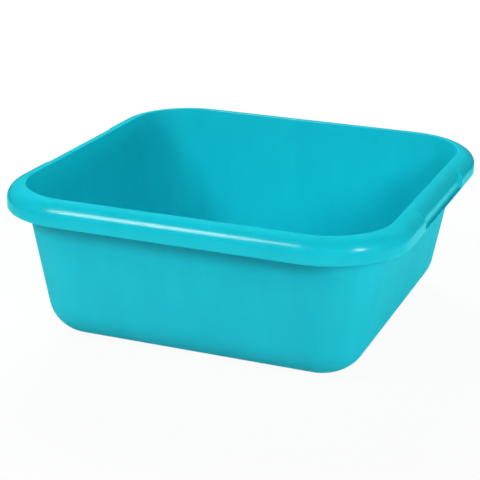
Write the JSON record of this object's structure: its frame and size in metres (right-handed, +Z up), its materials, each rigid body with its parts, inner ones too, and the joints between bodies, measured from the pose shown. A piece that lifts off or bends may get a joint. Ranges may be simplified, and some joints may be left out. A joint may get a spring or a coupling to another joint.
{
  "type": "washing up bowl",
  "caption": "Square open washing-up bowl with drafted walls, rounded corners, a rolled rim with a down-turned skirt, and a grip let into the rim on two sides.",
  "frame": {"origin": "middle of the underside of the base", "axes": "+Z up, +X along the front towards the right grip, +Y from the front to the back"},
  "size_m": [0.35, 0.35, 0.1335],
  "materials": {
    "bowl_plastic": "glossy injection-moulded polypropylene, turquoise"
  },
  "bodies": {
    "root": {"base_panel": "bowl_plastic", "right_wall": "bowl_plastic", "back_wall": "bowl_plastic", "left_wall": "bowl_plastic", "front_wall": "bowl_plastic", "right_grip": "bowl_plastic", "left_grip": "bowl_plastic", "front_rim": "bowl_plastic", "back_rim": "bowl_plastic", "back_right_wall_corner": "bowl_plastic", "back_left_wall_corner": "bowl_plastic", "front_left_wall_corner": "bowl_plastic", "front_right_wall_corner": "bowl_plastic", "back_right_rim_corner": "bowl_plastic", "back_left_rim_corner": "bowl_plastic", "front_left_rim_corner": "bowl_plastic", "front_right_rim_corner": "bowl_plastic"}
  },
  "joints": []
}
